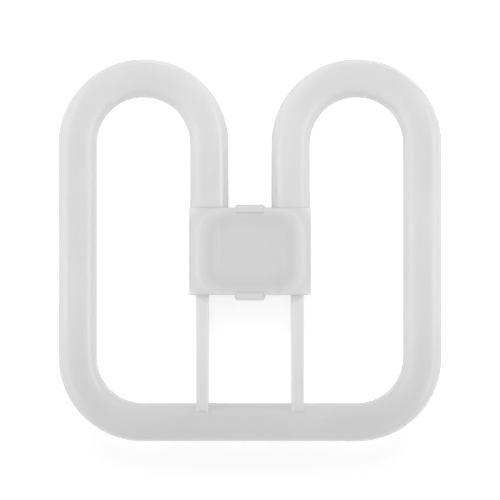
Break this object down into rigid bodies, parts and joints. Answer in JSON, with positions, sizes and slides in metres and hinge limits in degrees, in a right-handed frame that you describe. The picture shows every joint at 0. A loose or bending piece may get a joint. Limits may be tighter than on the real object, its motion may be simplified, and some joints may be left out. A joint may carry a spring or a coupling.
{
  "type": "butterfly led lamp",
  "caption": "Square butterfly LED lamp: an opal tube bent into two wings, held by a plug-in cap in the middle and braced by stays to its bottom run.",
  "frame": {"origin": "middle of the plug's rear rim, 0.85 mm below the middle of the outline", "axes": "+X to the right and +Y up the lamp as seen from the front, +Z out of its front"},
  "size_m": [0.14, 0.1397, 0.0274],
  "materials": {
    "opal_plastic": "satin opal",
    "white_plastic": "satin moulded",
    "brass": "satin",
    "circuit_board": "lacquered",
    "capacitor_sleeve": "shrunk sleeve",
    "capacitor_case": "moulded",
    "ferrite": "sintered",
    "black_resin": "moulded",
    "fuse_body": "moulded",
    "tinned_copper": "tinned"
  },
  "bodies": {
    "root": {"tube": "opal_plastic", "cap_cover": "white_plastic", "cap_housing": "white_plastic", "driver_board": "circuit_board", "smoothing_capacitor": "capacitor_sleeve", "film_capacitor": "capacitor_case", "inductor": "ferrite", "bridge_rectifier": "black_resin", "driver_chip": "black_resin", "input_fuse": "fuse_body", "lead_positive": "tinned_copper", "lead_negative": "tinned_copper", "contact_pin_1": "brass", "contact_pin_2": "brass", "contact_pin_3": "brass", "contact_pin_4": "brass"}
  },
  "joints": []
}
